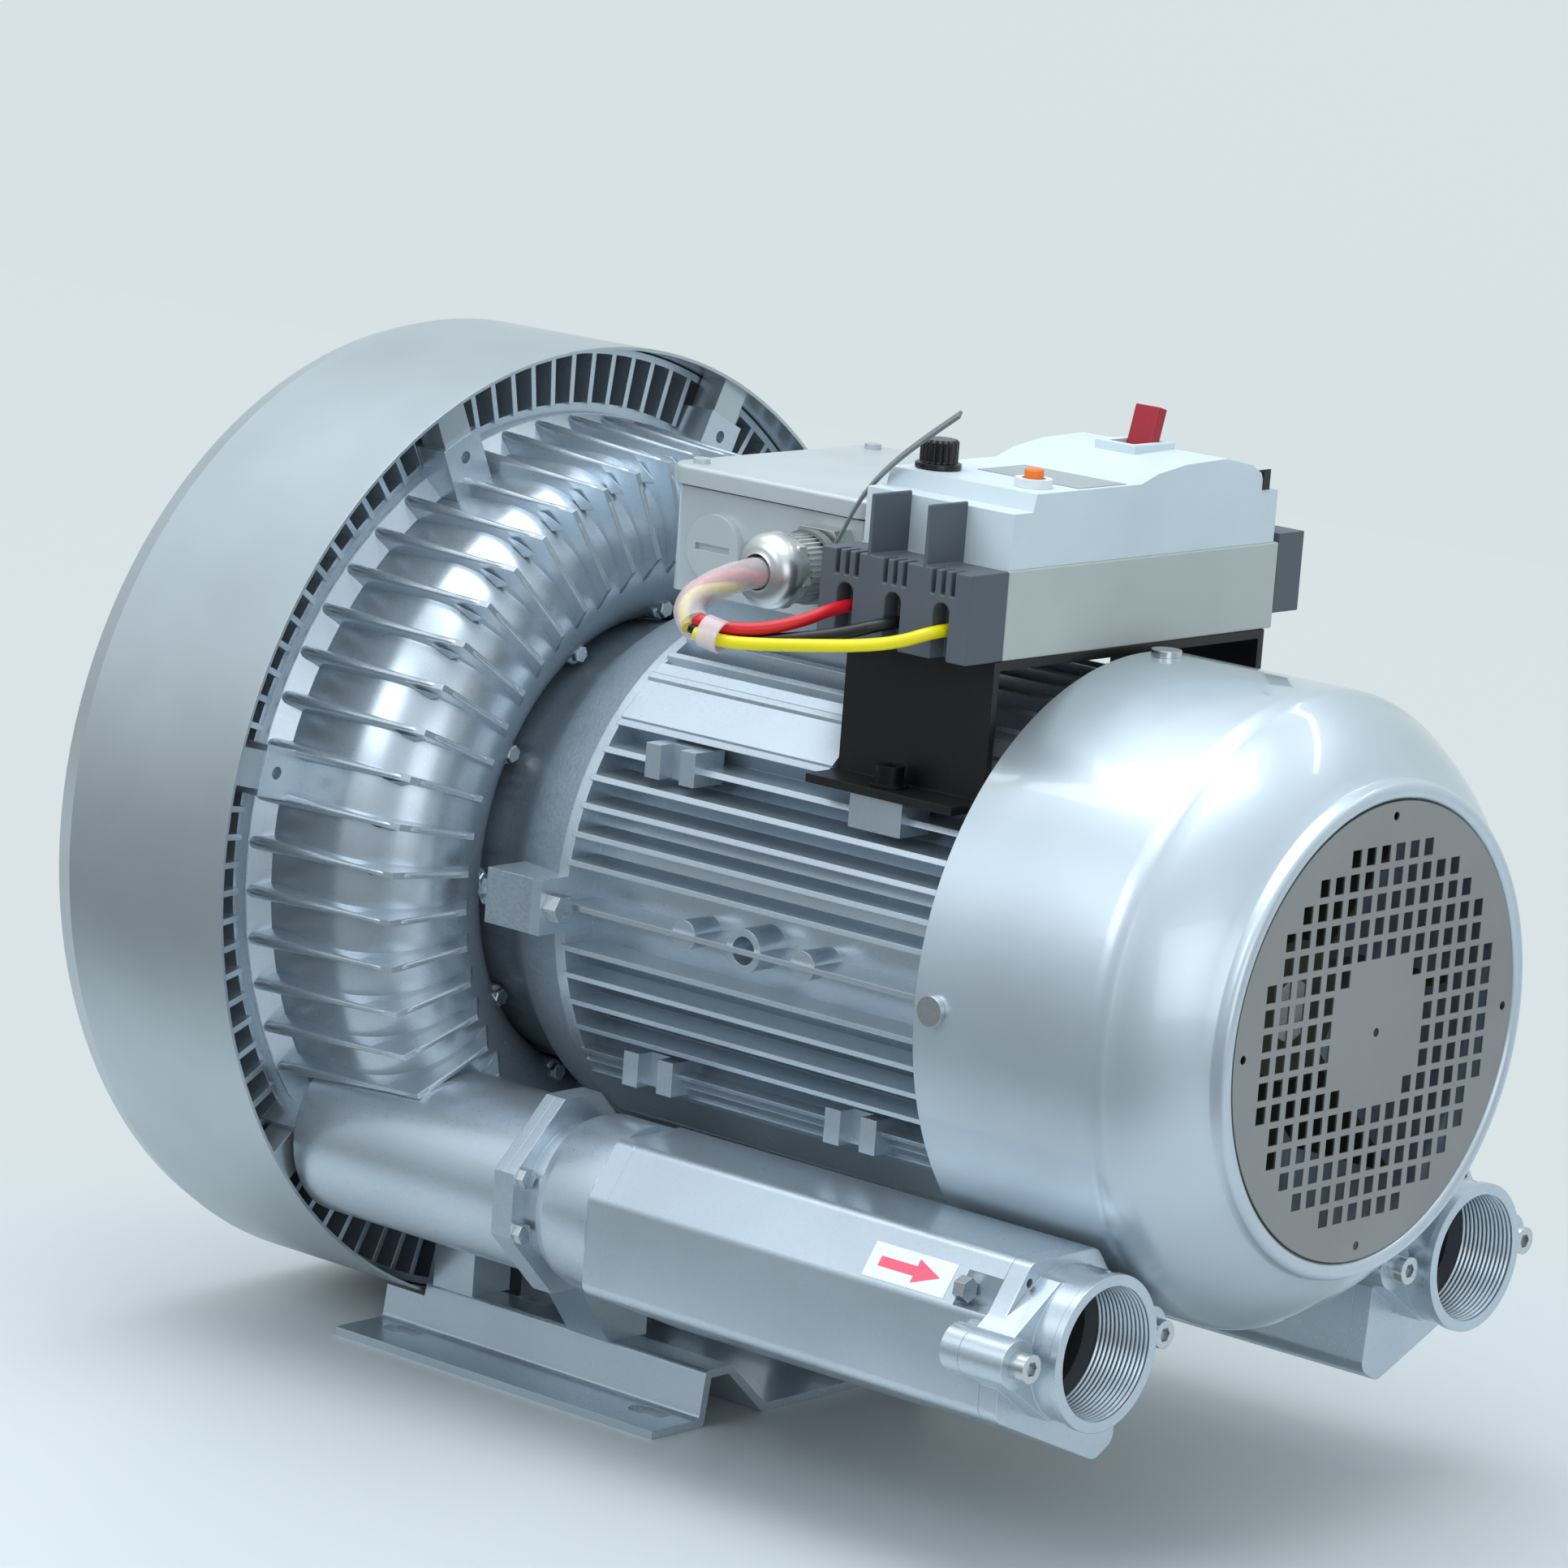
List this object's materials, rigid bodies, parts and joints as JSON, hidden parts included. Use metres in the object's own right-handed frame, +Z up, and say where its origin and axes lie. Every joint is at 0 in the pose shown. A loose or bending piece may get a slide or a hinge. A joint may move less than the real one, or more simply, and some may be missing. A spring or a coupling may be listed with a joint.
{
  "type": "side channel blower",
  "caption": "Side channel blower: ribbed drum, finned channel housing and motor, two tubular silencers with threaded ports, terminal box and motor starter on top.",
  "frame": {"origin": "centre of the foot's four slots on the mounting surface", "axes": "+Z up, +X along the shaft from the compressor drum to the motor's fan cowl, outlet on the -Y side"},
  "size_m": [0.6046, 0.47, 0.487],
  "materials": {
    "aluminium_bare": "machined",
    "black_plastic": "moulded",
    "black_sheet": "satin black",
    "black_wire": "cable jacket",
    "board_plastic": "moulded",
    "box_paint": "satin",
    "bright_steel": "zinc plated",
    "casting": "satin painted casting",
    "clear_sleeve": "translucent wrap",
    "copper": "varnished copper wire",
    "dark_steel": "black oxide",
    "drum_sheet": "satin",
    "fan_plastic": "moulded",
    "foam": "open cell foam",
    "grey_plastic": "moulded",
    "laminations": "stacked sheet",
    "light_plastic": "moulded",
    "nickel": "nickel plated brass",
    "orange_plastic": "moulded",
    "red_plastic": "moulded",
    "red_wire": "cable jacket",
    "seal_rubber": "moulded",
    "shaft_steel": "ground",
    "silver_paint": "satin",
    "white_plastic": "moulded",
    "yellow_wire": "cable jacket"
  },
  "bodies": {
    "frame": {"bearing_outer_rings": "shaft_steel", "blind_plug": "box_paint", "box_gasket": "seal_rubber", "box_lid": "box_paint", "bracket_screws": "dark_steel", "button_collar": "white_plastic", "channel_housing": "casting", "cowl_screws": "bright_steel", "drum_cowl": "drum_sheet", "duct_bolts": "bright_steel", "end_shield": "casting", "fan_cowl": "silver_paint", "fan_guard": "bright_steel", "flange_studs": "bright_steel", "foot": "silver_paint", "foot_bolts": "bright_steel", "gland_body": "nickel", "gland_nut": "nickel", "housing_screws": "bright_steel", "impeller_cover": "casting", "inlet_flange": "casting", "inlet_foam": "foam", "inlet_neck": "casting", "inlet_silencer": "casting", "inlet_tube": "bright_steel", "input_block": "grey_plastic", "lid_screws": "box_paint", "motor_flange": "casting", "motor_frame": "silver_paint", "outlet_flange": "casting", "outlet_foam": "foam", "outlet_neck": "casting", "outlet_silencer": "casting", "outlet_tube": "bright_steel", "output_block": "grey_plastic", "shaft_seal": "seal_rubber", "silencer_screws": "bright_steel", "starter_base": "light_plastic", "starter_bracket": "black_sheet", "starter_cover": "light_plastic", "stator_core": "laminations", "stator_windings": "copper", "terminal_board": "board_plastic", "terminal_box": "box_paint", "wire_band": "clear_sleeve", "wire_black": "black_wire", "wire_red": "red_wire", "wire_sleeve": "clear_sleeve", "wire_yellow": "yellow_wire"},
    "rotor": {"shaft": "shaft_steel", "rotor_core": "aluminium_bare", "impeller": "aluminium_bare", "shaft_key": "shaft_steel", "impeller_nut": "bright_steel", "bearing_inner_rings": "shaft_steel", "front_fan": "fan_plastic", "cooling_fan": "fan_plastic"},
    "knob": {"current_knob": "black_plastic"},
    "button": {"test_button": "orange_plastic"},
    "switch": {"handle": "red_plastic"}
  },
  "joints": [
    {"name": "shaft_spin", "type": "hinge", "parent": "frame", "child": "rotor", "pos_m": [-0.08, 0, 0.241], "axis": [1, 0, 0], "continuous": true},
    {"name": "current_dial", "type": "hinge", "parent": "frame", "child": "knob", "pos_m": [0.1785, -0.06, 0.46], "axis": [0, 0, -1], "range_deg": [0, 270]},
    {"name": "test_press", "type": "slide", "parent": "frame", "child": "button", "axis": [0, 0, -1], "range_m": [0, 0.0025], "stiffness_N_per_m": 400, "springref_m": -0.0005},
    {"name": "switch_throw", "type": "hinge", "parent": "frame", "child": "switch", "pos_m": [0.207, 0.045, 0.449], "axis": [1, 0, 0], "range_deg": [0, 30]}
  ]
}
